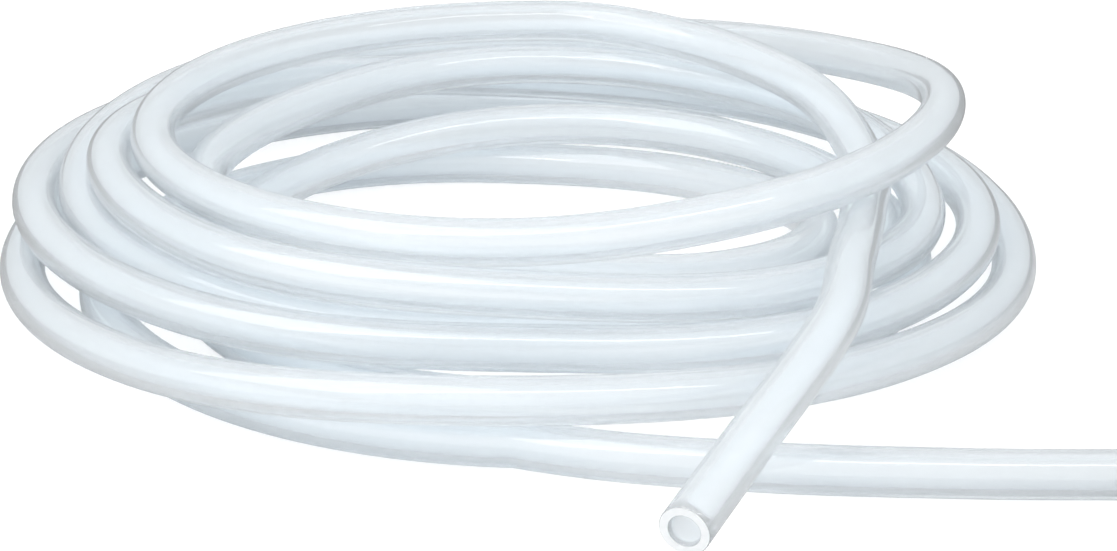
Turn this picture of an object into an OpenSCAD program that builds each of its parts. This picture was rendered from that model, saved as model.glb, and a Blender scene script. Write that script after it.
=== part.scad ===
// Coil of translucent silicone tubing, lying loose on a flat surface.
// Units: millimetres. Origin: under the middle of the whole part, on the surface it lies on.
// +Z is up, and the near cut end points to -Y.
// The tube is one piece. It is laid clockwise seen from above: the far tail leads in on the
// surface, the turns lie on and beside each other, and the near tail runs out over them.

/* [Tube] */
// outside diameter of the tube
tube_od = 8; // [6:0.1:8]
// diameter of the bore
bore_d = 5; // [2:0.1:5]

/* [Coil] */
// scale of the coil across, with the tube's own size unchanged
spread = 1; // [1:0.05:1.5]
// straight length at each cut end
end_len = 22; // [15:1:30]

/* [Part] */
// which part to draw

/* [Hidden] */
// flats round the tube's outside and round its bore, and round a cut end
sides_out = 12;
sides_in = 8;
end_sides = 48;
// rings of the sweep from one stop or route point to the next
stop_rings = 4;
// height of the centre of a tube 8 mm across that lies on the surface
floor_height = 4;
// the sweep's outside enters each straight end by this much, and its bore a little further
lap = 2;
// the sweep's corners and flats keep this far inside the straight ends' walls
inset = 0.05;
// a bore's cutter reaches this far past what it cuts
cutter_over = 1;

// Stops an eighth of a turn apart, clockwise from the front: front, front left, left, back
// left, back, back right, right, front right. One row to a turn, the bottom turn first.
// Distance of the tube's centre from the coil's axis:
outs = [
    [85, 80, 74, 64, 54, 52, 54, 52],
    [50, 51, 57, 60, 70, 74, 73, 69.5],
    [63.5, 68, 74, 75, 79, 83, 83, 77],
    [65, 75, 88, 98, 104, 99, 90, 86],
    [88, 89, 90, 93.5, 91, 76, 71, 69],
    [68, 63, 58, 54, 53, 59, 65, 60],
    [56, 65.5, 79.5, 88, 88, 84, 76, 67],
    [59, 61, 66, 70, 72]
];
// Height of the tube's centre over the surface, for a tube 8 mm across:
ups = [
    [4, 4, 4, 4, 4, 6, 10, 15],
    [20, 20, 19, 19.5, 19.8, 17.5, 14.5, 17.5],
    [21.2, 22.5, 24, 20.2, 14, 12, 12.2, 12.2],
    [12.3, 13.5, 14.5, 12.2, 8, 5, 4, 8],
    [12.5, 9, 6, 5, 4, 4, 4, 4],
    [4, 4, 4, 8.5, 12.3, 12.2, 11, 11.5],
    [12, 13.5, 16.5, 19.5, 20, 25, 33, 32.5],
    [28.5, 28, 28, 28, 28]
];
// Route points of the far tail, lying on the surface, and of the near tail, which dips
// under the top turn and runs out over the front of the coil.
far_route = [[95, -97.5, 4], [70, -97, 4], [35, -94, 4]];
near_route = [
    [31, 62, 27.3],
    [54, 34, 25.7],
    [62, -2, 23],
    [59, -34, 24.7],
    [55, -60, 26],
    [50, -86, 24.5],
    [34, -121, 18]
];
// middle of the whole part, seen from above, measured from the coil's own axis
middle = [11.5, -17.5];

stops = [
    for (turn = [0 : len(outs) - 1], stop = [0 : len(outs[turn]) - 1])
        [outs[turn][stop], ups[turn][stop]]
];
ring_count = (len(stops) - 1) * stop_rings + 1;

// Smooth curve through the points p; t counts the points, and part of it runs between two.
function beyond(p, i) =
    i < 0 ? 2 * p[0] - p[1] :
    i >= len(p) ? 2 * p[len(p) - 1] - p[len(p) - 2] : p[i];
function blend(a, b, c, d, u) =
    0.5 * (2 * b + (c - a) * u + (2 * a - 5 * b + 4 * c - d) * u * u
        + (3 * b - a - 3 * c + d) * u * u * u);
function through(p, t) =
    let (i = min(floor(t), len(p) - 2))
    blend(beyond(p, i - 1), beyond(p, i), beyond(p, i + 1), beyond(p, i + 2), t - i);

// Centre of the coiled tube, t stops after the front of the bottom turn.
function coil_point(t) =
    let (stop = through(stops, t), out = stop[0] * spread, azimuth = -90 - 45 * t)
    [out * cos(azimuth), out * sin(azimuth), max(stop[1], floor_height)];

coil = [for (k = [0 : ring_count - 1]) coil_point(k / stop_rings)];

function spread_out(p) = [for (q = p) [q[0] * spread, q[1] * spread, q[2]]];
far_points = concat(spread_out(far_route), [coil[0], coil[stop_rings]]);
near_points =
    concat([coil[ring_count - 1 - stop_rings], coil[ring_count - 1]], spread_out(near_route));
far_tail = [for (k = [0 : stop_rings * len(far_route) - 1]) through(far_points, k / stop_rings)];
near_tail = [for (k = [1 : stop_rings * len(near_route)]) through(near_points, 1 + k / stop_rings)];
spine = concat(far_tail, coil, near_tail);
last = len(spine) - 1;

function unit(v) = v / norm(v);
far_way = unit(far_points[0] - through(far_points, 0.02));
near_way = unit(near_points[len(near_points) - 1] - through(near_points, len(near_points) - 1.02));

// The spine, led straight on by this much into each cut end.
function led(lead) =
    concat([spine[0] + lead * far_way], spine, [spine[last] + lead * near_way]);

// Ring of radius r with n corners round centre i of a line, square to the line.
function ring(line, i, r, n) =
    let (
        way = unit(line[min(i + 1, len(line) - 1)] - line[max(i - 1, 0)]),
        side = unit(cross(way, [0, 0, 1])),
        up = cross(side, way)
    )
    [for (k = [0 : n - 1]) line[i] + r * (cos(360 * k / n) * side + sin(360 * k / n) * up)];

// Round rod along the led spine, of radius r, drawn with n flats.
module solid_sweep(r, n, lead) {
    line = led(lead);
    top = len(line) - 1;
    skin = [
        for (i = [0 : top - 1], k = [0 : n - 1])
            let (a = i * n + k, b = i * n + (k + 1) % n)
            [a, b, b + n, a + n]
    ];
    caps = [[for (k = [n - 1 : -1 : 0]) k], [for (k = [0 : n - 1]) top * n + k]];
    polyhedron(
        points = [for (i = [0 : top]) each ring(line, i, r, n)],
        faces = concat(skin, caps),
        convexity = 20
    );
}

// A straight cut end: round outside, round bore, square face.
module cut_end(at, way) {
    translate(at)
        rotate([0, acos(way[2]), atan2(way[1], way[0])])
            difference() {
                cylinder(h = end_len, d = tube_od, $fn = end_sides);
                translate([0, 0, -cutter_over])
                    cylinder(h = end_len + 2 * cutter_over, d = bore_d, $fn = end_sides);
            }
}

// The whole tube, moved so that the origin is under its middle and its underside is at z = 0.
module tubing() {
    color([0.86, 0.9, 0.93])
    translate([-middle[0] * spread, -middle[1] * spread, tube_od / 2 - floor_height])
    union() {
        difference() {
            solid_sweep(tube_od / 2 - inset, sides_out, lap);
            solid_sweep((bore_d / 2 + inset) / cos(180 / sides_in), sides_in, lap + cutter_over);
        }
        cut_end(spine[0], far_way);
        cut_end(spine[last], near_way);
    }
}

tubing();
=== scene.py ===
import math

import bpy
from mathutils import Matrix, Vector

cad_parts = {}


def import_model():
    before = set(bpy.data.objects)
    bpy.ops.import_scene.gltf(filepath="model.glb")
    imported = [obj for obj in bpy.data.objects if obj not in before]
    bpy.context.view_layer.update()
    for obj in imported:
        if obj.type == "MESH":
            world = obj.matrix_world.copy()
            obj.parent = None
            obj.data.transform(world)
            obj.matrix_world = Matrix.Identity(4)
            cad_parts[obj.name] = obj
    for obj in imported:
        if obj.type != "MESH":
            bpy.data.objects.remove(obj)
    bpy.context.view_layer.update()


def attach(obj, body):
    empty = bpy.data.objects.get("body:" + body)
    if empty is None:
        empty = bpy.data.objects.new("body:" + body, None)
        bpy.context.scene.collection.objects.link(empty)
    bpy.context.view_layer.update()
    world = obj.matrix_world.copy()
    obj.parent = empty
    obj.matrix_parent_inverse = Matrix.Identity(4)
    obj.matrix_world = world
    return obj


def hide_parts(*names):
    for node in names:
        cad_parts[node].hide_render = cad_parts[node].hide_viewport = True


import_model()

# ---------------------------------------------------------------------------
# Camera: a long lens, looking a little down on the coil from the front.
# ---------------------------------------------------------------------------
CAMERA_AT = (-0.0045, -0.5665, 0.219)
CAMERA_DOWN_DEG = 20.5
LENS_MM = 110.0
SENSOR_MM = 36.0

scene = bpy.context.scene
cam = bpy.data.cameras.new("camera")
cam.lens = LENS_MM
cam.sensor_width = SENSOR_MM
cam_obj = bpy.data.objects.new("camera", cam)
scene.collection.objects.link(cam_obj)
cam_obj.location = CAMERA_AT
cam_obj.rotation_euler = (math.radians(90 - CAMERA_DOWN_DEG), 0, 0)
scene.camera = cam_obj

# ---------------------------------------------------------------------------
# The tube's route: the stops and route points of the part, in millimetres as in its source.
# route() gives them in metres.
# ---------------------------------------------------------------------------
MM = 0.001
TUBE_R = 4.0
BORE_R = 2.5
END_LEN = 22.0
FLOOR_HEIGHT = 4.0
MIDDLE = Vector((11.5, -17.5, 0))
# Stops an eighth of a turn apart, clockwise from the front, one row to a turn, the bottom turn
# first. Distance of the tube's centre from the coil's axis:
OUTS = [
    [85, 80, 74, 64, 54, 52, 54, 52],
    [50, 51, 57, 60, 70, 74, 73, 69.5],
    [63.5, 68, 74, 75, 79, 83, 83, 77],
    [65, 75, 88, 98, 104, 99, 90, 86],
    [88, 89, 90, 93.5, 91, 76, 71, 69],
    [68, 63, 58, 54, 53, 59, 65, 60],
    [56, 65.5, 79.5, 88, 88, 84, 76, 67],
    [59, 61, 66, 70, 72],
]
# Height of the tube's centre over the surface:
UPS = [
    [4, 4, 4, 4, 4, 6, 10, 15],
    [20, 20, 19, 19.5, 19.8, 17.5, 14.5, 17.5],
    [21.2, 22.5, 24, 20.2, 14, 12, 12.2, 12.2],
    [12.3, 13.5, 14.5, 12.2, 8, 5, 4, 8],
    [12.5, 9, 6, 5, 4, 4, 4, 4],
    [4, 4, 4, 8.5, 12.3, 12.2, 11, 11.5],
    [12, 13.5, 16.5, 19.5, 20, 25, 33, 32.5],
    [28.5, 28, 28, 28, 28],
]
# Route points of the far tail, and of the near tail:
FAR_ROUTE = [(95, -97.5, 4), (70, -97, 4), (35, -94, 4)]
NEAR_ROUTE = [
    (31, 62, 27.3),
    (54, 34, 25.7),
    (62, -2, 23),
    (59, -34, 24.7),
    (55, -60, 26),
    (50, -86, 24.5),
    (34, -121, 18),
]
RINGS_A_STOP = 20
RINGS_AN_END = 8    # rings along each straight cut end


def beyond(p, i):
    """Point i of p, or the end of p carried straight on by one point."""
    if i < 0:
        return 2 * p[0] - p[1]
    if i >= len(p):
        return 2 * p[-1] - p[-2]
    return p[i]


def through(p, t):
    """Smooth curve through the points p, which t counts."""
    i = min(int(math.floor(t)), len(p) - 2)
    u = t - i
    a, b, c, d = beyond(p, i - 1), beyond(p, i), beyond(p, i + 1), beyond(p, i + 2)
    return 0.5 * (2 * b + (c - a) * u + (2 * a - 5 * b + 4 * c - d) * u * u
                  + (3 * b - a - 3 * c + d) * u ** 3)


def route():
    """The tube's centre line from the far cut end to the near one, in metres."""
    m = RINGS_A_STOP
    stops = [Vector((o, u)) for outs, ups in zip(OUTS, UPS) for o, u in zip(outs, ups)]
    count = (len(stops) - 1) * m + 1
    coil = []
    for k in range(count):
        out, up = through(stops, k / m)
        azimuth = math.radians(-90 - 45 * k / m)
        coil.append(Vector((out * math.cos(azimuth), out * math.sin(azimuth),
                            max(up, FLOOR_HEIGHT))))
    far = [Vector(p) for p in FAR_ROUTE] + [coil[0], coil[m]]
    near = [coil[-1 - m], coil[-1]] + [Vector(p) for p in NEAR_ROUTE]
    far_tail = [through(far, k / m) for k in range(m * len(FAR_ROUTE))]
    near_tail = [through(near, 1 + k / m) for k in range(1, m * len(NEAR_ROUTE) + 1)]
    line = far_tail + coil + near_tail
    far_way = (far[0] - through(far, 0.02)).normalized()
    near_way = (near[-1] - through(near, len(near) - 1.02)).normalized()
    steps = RINGS_AN_END
    lead_in = [line[0] + far_way * END_LEN * (1 - k / steps) for k in range(steps)]
    lead_out = [line[-1] + near_way * END_LEN * (k + 1) / steps for k in range(steps)]
    return [(p - MIDDLE) * MM for p in lead_in + line + lead_out]


# ---------------------------------------------------------------------------
# Tube mesh: outer skin, bore, and two cut faces, one closed hollow solid.
# ---------------------------------------------------------------------------
SIDES_OUT = 36
SIDES_IN = 28
CHAMFER = 0.12      # mm, the softened edge round each cut
OUTSIDE, CUT, BORE = 0, 1, 2    # material slots


def build_tube(line):
    """Mesh of the tube along line, which is in metres, with its faces turned out of the wall."""
    top = len(line) - 1
    ways = [(line[min(i + 1, top)] - line[max(i - 1, 0)]).normalized() for i in range(top + 1)]
    z = Vector((0, 0, 1))
    verts, faces, mats, smooth = [], [], [], []

    def ring(centre, way, r, n):
        """Adds n points round centre, r mm from it, and gives the number of the first."""
        side = way.cross(z).normalized()
        up = side.cross(way)
        first = len(verts)
        for k in range(n):
            a = 2 * math.pi * k / n
            verts.append(centre + (side * math.cos(a) + up * math.sin(a)) * r * MM)
        return first

    def join(a, b, n, slot):
        """Adds the faces between two rings. Those of the bore look into the bore."""
        for k in range(n):
            k2 = (k + 1) % n
            quad = (a + k, a + k2, b + k2, b + k)
            faces.append(quad if slot == BORE else quad[::-1])
            mats.append(slot)
            smooth.append(True)

    rims = []
    for r, n, slot in ((TUBE_R, SIDES_OUT, OUTSIDE), (BORE_R, SIDES_IN, BORE)):
        rim_r = r + CHAMFER if slot == BORE else r - CHAMFER
        first = ring(line[0], ways[0], rim_r, n)
        prev = ring(line[0] + ways[0] * CHAMFER * MM, ways[0], r, n)
        join(first, prev, n, slot)
        for i in range(1, top):
            here = ring(line[i], ways[i], r, n)
            join(prev, here, n, slot)
            prev = here
        here = ring(line[top] - ways[top] * CHAMFER * MM, ways[top], r, n)
        join(prev, here, n, slot)
        final = ring(line[top], ways[top], rim_r, n)
        join(here, final, n, slot)
        rims.append((first, final))
    # each cut face is a band of triangles between the outer rim and the bore's rim
    for end in (0, 1):
        outer, inner = rims[0][end], rims[1][end]
        i = j = 0
        while i < SIDES_OUT or j < SIDES_IN:
            o, o2 = outer + i % SIDES_OUT, outer + (i + 1) % SIDES_OUT
            q, q2 = inner + j % SIDES_IN, inner + (j + 1) % SIDES_IN
            if j >= SIDES_IN or (i < SIDES_OUT and (i + 1) / SIDES_OUT <= (j + 1) / SIDES_IN):
                tri = (o, q, o2)
                i += 1
            else:
                tri = (o, q, q2)
                j += 1
            faces.append(tri[::-1] if end == 0 else tri)
            mats.append(CUT)
            smooth.append(False)
    mesh = bpy.data.meshes.new("tubing")
    mesh.from_pydata([v[:] for v in verts], [], faces)
    mesh.polygons.foreach_set("material_index", mats)
    mesh.polygons.foreach_set("use_smooth", smooth)
    mesh.validate()
    mesh.update()
    return mesh


# ---------------------------------------------------------------------------
# Materials
# ---------------------------------------------------------------------------
SILICONE_IOR = 1.41
SEEN_THROUGH_WALL = (0.9, 0.92, 0.935, 1)    # what is left of a lamp's light past one surface
# Two near tones each, between which the colour drifts
OUTSIDE_TONES = (0.945, 0.965, 0.978, 1), (0.96, 0.977, 0.987, 1)
# The bore's tones are darker than the outside's: painted shade inside the bore
BORE_PAINTED_SHADE_TONES = (0.9, 0.927, 0.945, 1), (0.925, 0.945, 0.96, 1)
CUT_TONES = (0.82, 0.84, 0.855, 1), (0.88, 0.895, 0.905, 1)
# Patches of one tone to a metre
WALL_MOTTLE = 55
CUT_MOTTLE = 900


def new_material(name):
    """A material with an empty node tree, apart from its output."""
    mat = bpy.data.materials.new(name)
    mat.use_nodes = True
    tree = mat.node_tree
    tree.nodes.clear()
    out = tree.nodes.new("ShaderNodeOutputMaterial")
    return mat, tree, out


def let_light_in(tree, shader, out):
    """The lamps' light passes through the surface, dimmed a little, as through silicone."""
    nodes, links = tree.nodes, tree.links
    path = nodes.new("ShaderNodeLightPath")
    clear = nodes.new("ShaderNodeBsdfTransparent")
    clear.inputs["Color"].default_value = SEEN_THROUGH_WALL
    mix = nodes.new("ShaderNodeMixShader")
    links.new(path.outputs["Is Shadow Ray"], mix.inputs[0])
    links.new(shader, mix.inputs[1])
    links.new(clear.outputs[0], mix.inputs[2])
    links.new(mix.outputs[0], out.inputs["Surface"])


def mottle(tree, skin, scale, low, high):
    """The base colour drifts between two near tones."""
    nodes, links = tree.nodes, tree.links
    where = nodes.new("ShaderNodeTexCoord")
    cloud = nodes.new("ShaderNodeTexNoise")
    cloud.inputs["Scale"].default_value = scale
    cloud.inputs["Detail"].default_value = 3
    ramp = nodes.new("ShaderNodeValToRGB")
    ramp.color_ramp.elements[0].position = 0.3
    ramp.color_ramp.elements[0].color = low
    ramp.color_ramp.elements[1].position = 0.7
    ramp.color_ramp.elements[1].color = high
    links.new(where.outputs["Object"], cloud.inputs["Vector"])
    links.new(cloud.outputs["Fac"], ramp.inputs["Fac"])
    links.new(ramp.outputs["Color"], skin.inputs["Base Color"])


def silicone(name, low, high):
    """The smooth wall: mostly seen through, with a milky share and a shine."""
    mat, tree, out = new_material(name)
    skin = tree.nodes.new("ShaderNodeBsdfPrincipled")
    skin.inputs["Roughness"].default_value = 0.18
    skin.inputs["IOR"].default_value = SILICONE_IOR
    skin.inputs["Transmission Weight"].default_value = 0.8
    skin.distribution = "GGX"
    skin.inputs["Coat Weight"].default_value = 0.6
    skin.inputs["Coat Roughness"].default_value = 0.1
    mottle(tree, skin, WALL_MOTTLE, low, high)
    let_light_in(tree, skin.outputs["BSDF"], out)
    return mat


def cut_face():
    """The matt, whiter face that the knife leaves."""
    mat, tree, out = new_material("silicone_cut")
    skin = tree.nodes.new("ShaderNodeBsdfPrincipled")
    skin.inputs["Roughness"].default_value = 0.6
    skin.inputs["IOR"].default_value = SILICONE_IOR
    mottle(tree, skin, CUT_MOTTLE, *CUT_TONES)
    let_light_in(tree, skin.outputs["BSDF"], out)
    return mat


line = route()
tube = bpy.data.objects.new("tube", build_tube(line))
scene.collection.objects.link(tube)
tube.data.materials.append(silicone("silicone", *OUTSIDE_TONES))
tube.data.materials.append(cut_face())
# the bore takes the darker tones, painted shade inside it
tube.data.materials.append(silicone("silicone_bore", *BORE_PAINTED_SHADE_TONES))
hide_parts("tubing")
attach(tube, "root")


# ---------------------------------------------------------------------------
# Stage and light
# ---------------------------------------------------------------------------
WHITE = (1, 1, 1, 1)
FLOOR_HALF = 3.0            # metres from the middle to each edge
FLOOR_LEVEL = 0.7           # the floor's own paleness
FLOOR_FOR_CAMERA = -0.35    # added for the camera's rays, which get the glow instead
FLOOR_GLOW = 0.7            # for the camera's rays only, so that the floor is white to it
FLOOR_SHADE_FOR_GLASS = -0.4      # painted shade, added for rays from gloss or glass, in full past FALL_END
FALL_START, FALL_END = 0.06, 0.13    # metres from the middle
ROOM_FRONT = WHITE
ROOM_BACK = (0.8, 0.845, 0.877, 1)
COIL_MIDDLE = Vector((0, 0, 0.02))
BOUNCES = 24                # enough for light to pass through the pile


def floor_level(tree):
    """How pale the floor is to each kind of ray. Rays from gloss or glass see it darker away
    from the middle, a painted shade.
    """
    nodes, links = tree.nodes, tree.links
    path = nodes.new("ShaderNodeLightPath")
    either = nodes.new("ShaderNodeMath")
    either.operation = "MAXIMUM"
    links.new(path.outputs["Is Glossy Ray"], either.inputs[0])
    links.new(path.outputs["Is Transmission Ray"], either.inputs[1])
    through_glass = nodes.new("ShaderNodeMath")
    through_glass.operation = "MULTIPLY_ADD"
    through_glass.inputs[2].default_value = FLOOR_LEVEL
    place = nodes.new("ShaderNodeNewGeometry")
    out_from_middle = nodes.new("ShaderNodeVectorMath")
    out_from_middle.operation = "LENGTH"
    links.new(place.outputs["Position"], out_from_middle.inputs[0])
    # painted shade: rays from gloss or glass see the floor darken between FALL_START and
    # FALL_END from the middle
    shade_fall = nodes.new("ShaderNodeMapRange")
    shade_fall.inputs["From Min"].default_value = FALL_START
    shade_fall.inputs["From Max"].default_value = FALL_END
    shade_fall.inputs["To Min"].default_value = 0.0
    shade_fall.inputs["To Max"].default_value = FLOOR_SHADE_FOR_GLASS
    links.new(out_from_middle.outputs["Value"], shade_fall.inputs["Value"])
    links.new(shade_fall.outputs["Result"], through_glass.inputs[1])
    links.new(either.outputs[0], through_glass.inputs[0])
    total = nodes.new("ShaderNodeMath")
    total.operation = "MULTIPLY_ADD"
    total.inputs[1].default_value = FLOOR_FOR_CAMERA
    links.new(path.outputs["Is Camera Ray"], total.inputs[0])
    links.new(through_glass.outputs[0], total.inputs[2])
    return total.outputs[0]


def floor():
    """White to the camera, with the object's soft shadow left on it."""
    mesh = bpy.data.meshes.new("floor")
    e = FLOOR_HALF
    mesh.from_pydata([(-e, -e, 0), (e, -e, 0), (e, e, 0), (-e, e, 0)], [], [(0, 1, 2, 3)])
    obj = bpy.data.objects.new("floor", mesh)
    scene.collection.objects.link(obj)
    mat, tree, out = new_material("floor")
    nodes, links = tree.nodes, tree.links
    paper = nodes.new("ShaderNodeBsdfDiffuse")
    links.new(floor_level(tree), paper.inputs["Color"])
    path = nodes.new("ShaderNodeLightPath")
    to_camera = nodes.new("ShaderNodeMath")
    to_camera.operation = "MULTIPLY"
    to_camera.inputs[1].default_value = FLOOR_GLOW
    links.new(path.outputs["Is Camera Ray"], to_camera.inputs[0])
    glow = nodes.new("ShaderNodeEmission")
    glow.inputs["Color"].default_value = WHITE
    links.new(to_camera.outputs[0], glow.inputs["Strength"])
    both = nodes.new("ShaderNodeAddShader")
    links.new(paper.outputs[0], both.inputs[0])
    links.new(glow.outputs[0], both.inputs[1])
    links.new(both.outputs[0], out.inputs["Surface"])
    mesh.materials.append(mat)


def world():
    """White to the camera. Other rays see a room, white in front and pale blue-grey behind."""
    w = bpy.data.worlds.new("studio")
    scene.world = w
    w.use_nodes = True
    tree = w.node_tree
    tree.nodes.clear()
    nodes, links = tree.nodes, tree.links
    out = nodes.new("ShaderNodeOutputWorld")
    back = nodes.new("ShaderNodeBackground")
    path = nodes.new("ShaderNodeLightPath")
    where = nodes.new("ShaderNodeTexCoord")
    apart = nodes.new("ShaderNodeSeparateXYZ")
    links.new(where.outputs["Generated"], apart.inputs["Vector"])
    room = nodes.new("ShaderNodeValToRGB")
    room.color_ramp.interpolation = "EASE"
    room.color_ramp.elements[0].position = 0.0
    room.color_ramp.elements[0].color = ROOM_FRONT
    room.color_ramp.elements[1].position = 0.6
    room.color_ramp.elements[1].color = ROOM_BACK
    turn = nodes.new("ShaderNodeMapRange")
    turn.inputs["From Min"].default_value = -0.5
    turn.inputs["From Max"].default_value = 1.0
    links.new(apart.outputs["Y"], turn.inputs["Value"])
    links.new(turn.outputs["Result"], room.inputs["Fac"])
    seen = nodes.new("ShaderNodeMix")
    seen.data_type = "RGBA"
    seen.inputs[7].default_value = WHITE
    links.new(path.outputs["Is Camera Ray"], seen.inputs[0])
    links.new(room.outputs["Color"], seen.inputs[6])
    links.new(seen.outputs[2], back.inputs["Color"])
    links.new(back.outputs[0], out.inputs["Surface"])


def softbox(name, at, size, power):
    """A rectangular lamp turned to the coil. It isn't seen through the tube's wall."""
    lamp = bpy.data.lights.new(name, "AREA")
    lamp.shape = "RECTANGLE"
    lamp.size, lamp.size_y = size
    lamp.energy = power
    obj = bpy.data.objects.new(name, lamp)
    scene.collection.objects.link(obj)
    obj.location = at
    obj.rotation_euler = (COIL_MIDDLE - Vector(at)).to_track_quat("-Z", "Y").to_euler()
    obj.visible_transmission = False


floor()
world()
softbox("key", at=(-0.6, -0.3, 1.1), size=(1.0, 1.0), power=7)
softbox("strip", at=(0.1, -0.5, 0.9), size=(1.4, 0.08), power=2.5)

scene.view_settings.view_transform = "Standard"
scene.cycles.max_bounces = BOUNCES
scene.cycles.transmission_bounces = BOUNCES
